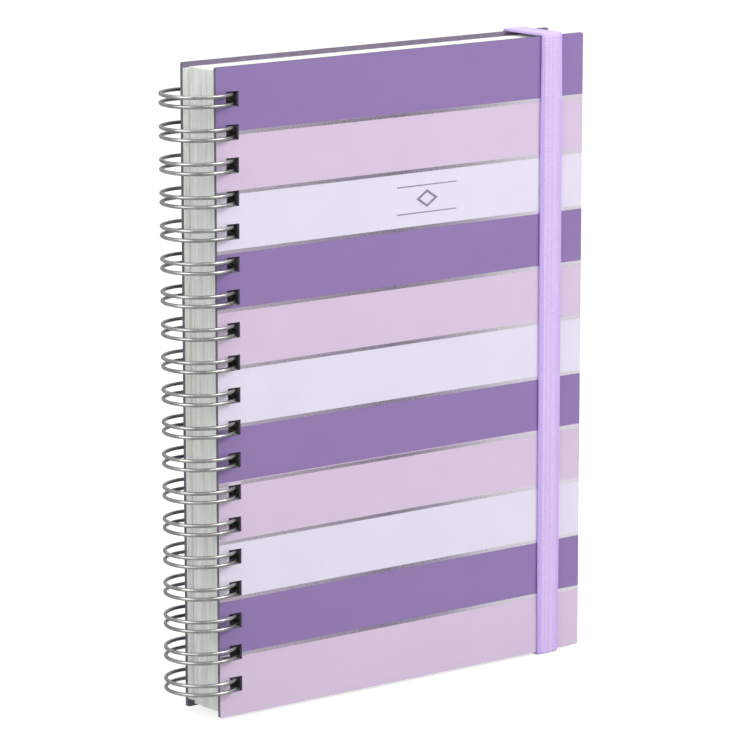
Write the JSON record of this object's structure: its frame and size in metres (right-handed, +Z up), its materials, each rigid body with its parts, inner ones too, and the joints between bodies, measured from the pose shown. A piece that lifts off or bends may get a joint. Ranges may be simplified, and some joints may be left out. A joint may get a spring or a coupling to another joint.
{
  "type": "wire-bound planner",
  "caption": "Hardcover planner on double-loop wire, with punched leaf sections, striped covers and an elastic closing band anchored in the back cover.",
  "frame": {"origin": "under the middle of the whole object, level with the underside of the elastic band's lower wrap, on which the upright planner stands", "axes": "+Z up along the spine, -Y out of the front cover, +Y out of the back cover, -X towards the wire spine, +X towards the fore edge"},
  "size_m": [0.1322, 0.0194, 0.1706],
  "materials": {
    "cover_print": "matt laminated print: purple, pink and lavender bands between silver foil lines",
    "grey_board": "uncoated grey bookbinding board",
    "liner": "smooth grey-purple lining paper",
    "leaf_paper": "uncoated offset paper",
    "sticker_paper": "semi-gloss label stock",
    "nickel_wire": "bright nickel-plated steel wire",
    "silver_foil": "hot-stamped silver foil, satin",
    "elastic_webbing": "woven lilac elastic with fine lengthwise ribs"
  },
  "bodies": {
    "back_cover": {"back_liner": "liner", "back_board": "grey_board", "back_face_sheet": "cover_print", "binding_wire": "nickel_wire", "elastic_top_end": "elastic_webbing", "elastic_bottom_end": "elastic_webbing"},
    "later_leaves": {"july": "leaf_paper", "august": "leaf_paper", "september": "leaf_paper", "october": "leaf_paper", "november": "leaf_paper", "december": "leaf_paper", "notes_leaves": "leaf_paper", "sticker_leaves": "sticker_paper"},
    "earlier_leaves": {"title_leaves": "leaf_paper", "year_leaves": "leaf_paper", "january": "leaf_paper", "february": "leaf_paper", "march": "leaf_paper", "april": "leaf_paper", "may": "leaf_paper", "june": "leaf_paper"},
    "front_cover": {"front_face_sheet": "cover_print", "front_board": "grey_board", "front_liner": "liner"},
    "closing_band": {"elastic_loop": "elastic_webbing"}
  },
  "joints": [
    {"name": "later_leaves_turn", "type": "hinge", "parent": "back_cover", "child": "later_leaves", "pos_m": [-0.05639, 0, 0], "axis": [0, 0, -1], "range_deg": [0, 180]},
    {"name": "earlier_leaves_turn", "type": "hinge", "parent": "later_leaves", "child": "earlier_leaves", "pos_m": [-0.05639, 0, 0], "axis": [0, 0, -1], "range_deg": [0, 180]},
    {"name": "front_cover_swing", "type": "hinge", "parent": "earlier_leaves", "child": "front_cover", "pos_m": [-0.05639, 0, 0], "axis": [0, 0, -1], "range_deg": [0, 180]},
    {"name": "band_release", "type": "hinge", "parent": "back_cover", "child": "closing_band", "pos_m": [0.05476, 0.00761, 0], "axis": [0, 0, 1], "range_deg": [0, 180], "deforming": ["elastic_loop"]}
  ],
  "couplings": [
    {"joint": "band_release", "follows": "front_cover_swing", "ratio": 1}
  ]
}
